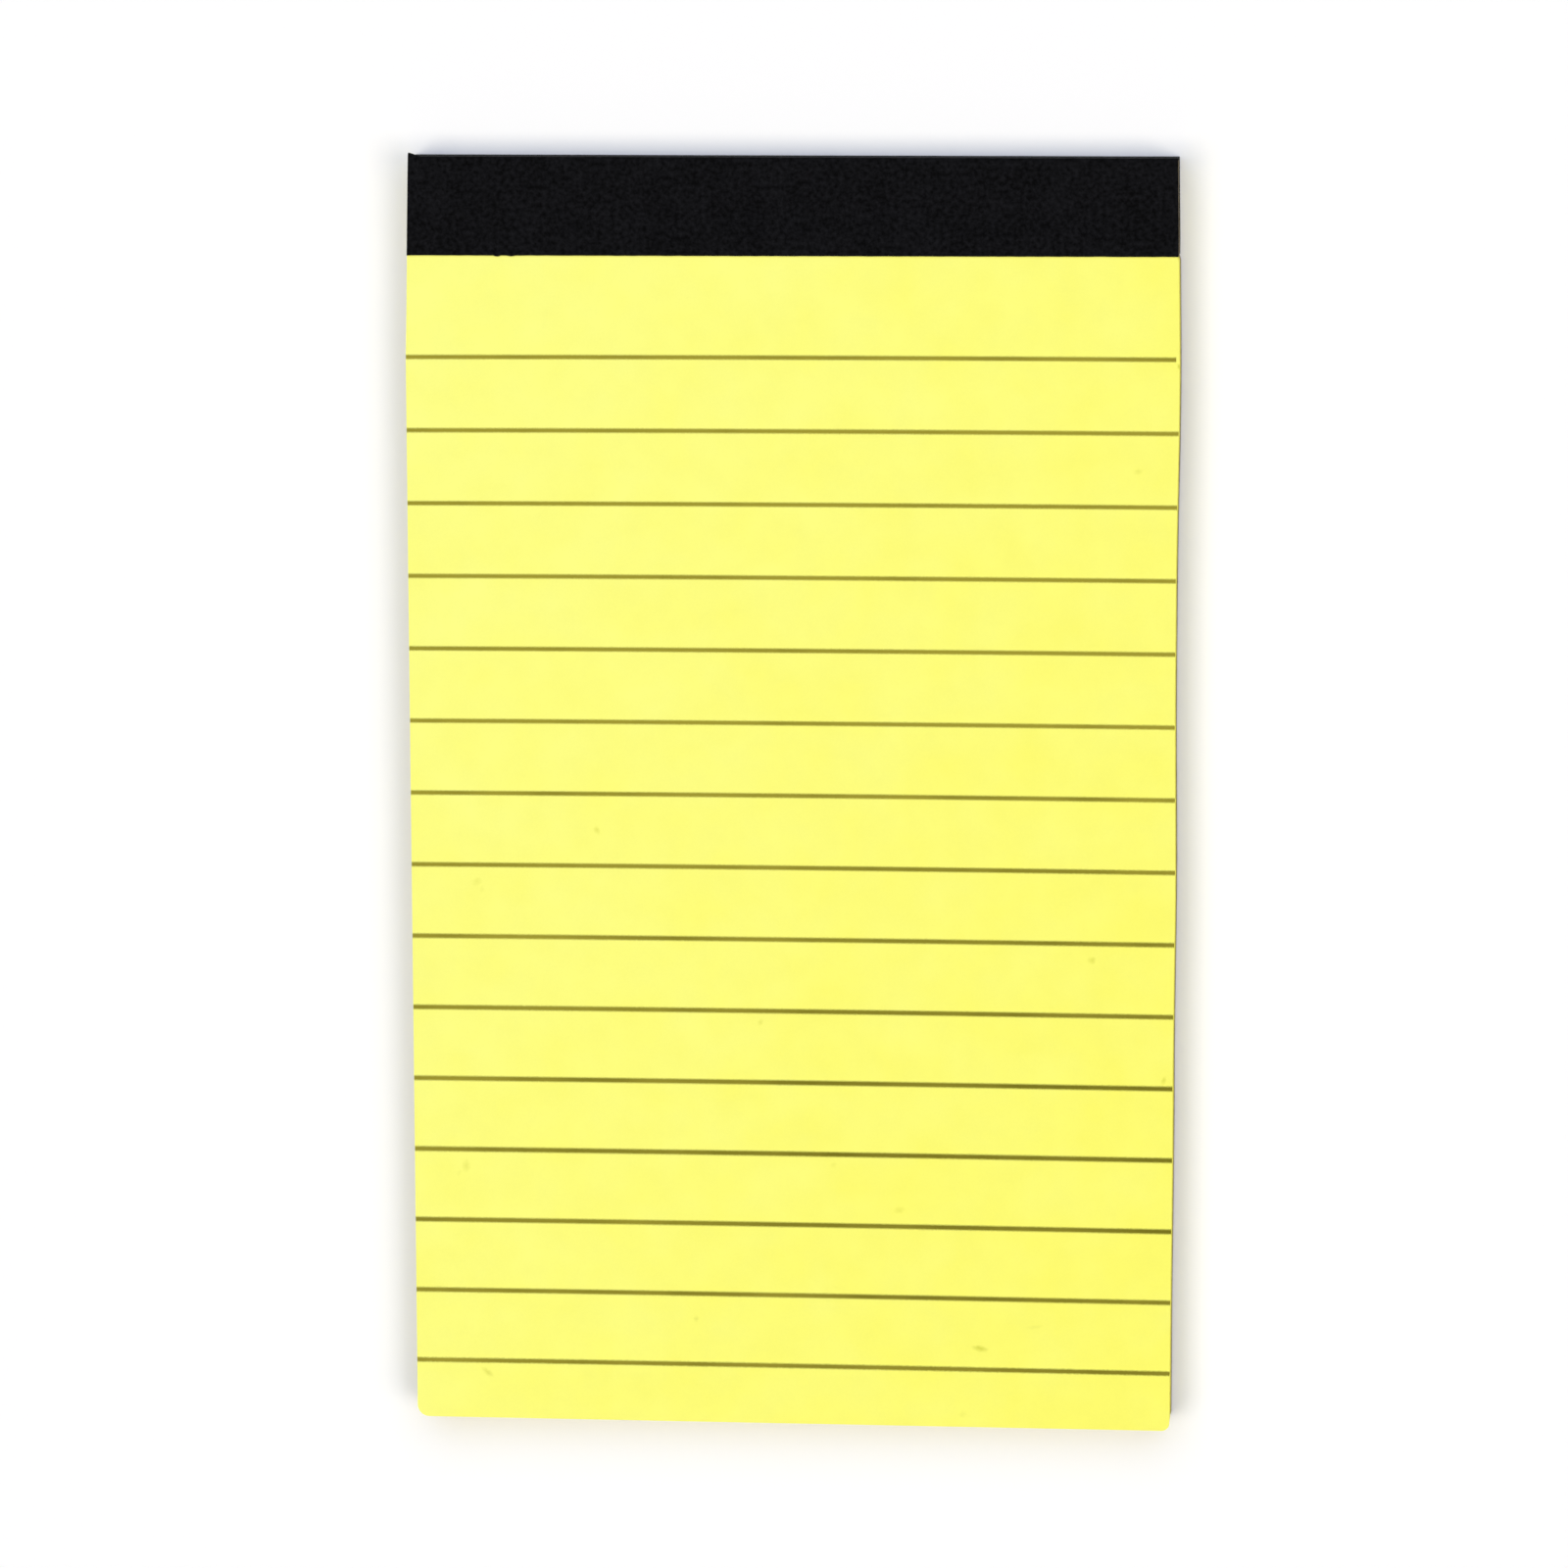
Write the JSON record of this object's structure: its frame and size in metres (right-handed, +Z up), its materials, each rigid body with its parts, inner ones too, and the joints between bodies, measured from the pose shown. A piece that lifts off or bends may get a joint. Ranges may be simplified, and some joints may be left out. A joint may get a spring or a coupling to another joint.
{
  "type": "legal pad",
  "caption": "Small top-bound pad of yellow ruled sheets on a stiff board, held by gum and a dark folded tape across the head.",
  "frame": {"origin": "centre of the pad's outline, on the surface that it lies on", "axes": "+X across the sheet to the reader's right, +Y along the sheet from the foot to the bound head, +Z up out of the ruled face"},
  "size_m": [0.0762, 0.1274, 0.0059],
  "materials": {
    "sheet_paper": "matte uncoated canary yellow writing paper",
    "rule_ink": "matte printed ink, olive over the yellow paper",
    "backing_board": "uncoated recycled grey-brown chipboard",
    "padding_gum": "dried flexible padding gum, satin",
    "binding_paper": "black kraft binding tape with a fine embossed grain, low sheen"
  },
  "bodies": {
    "root": {"ruled_sheets": "sheet_paper", "printed_rules": "rule_ink", "chipboard_back": "backing_board", "head_gum": "padding_gum", "binding_tape": "binding_paper"}
  },
  "joints": []
}
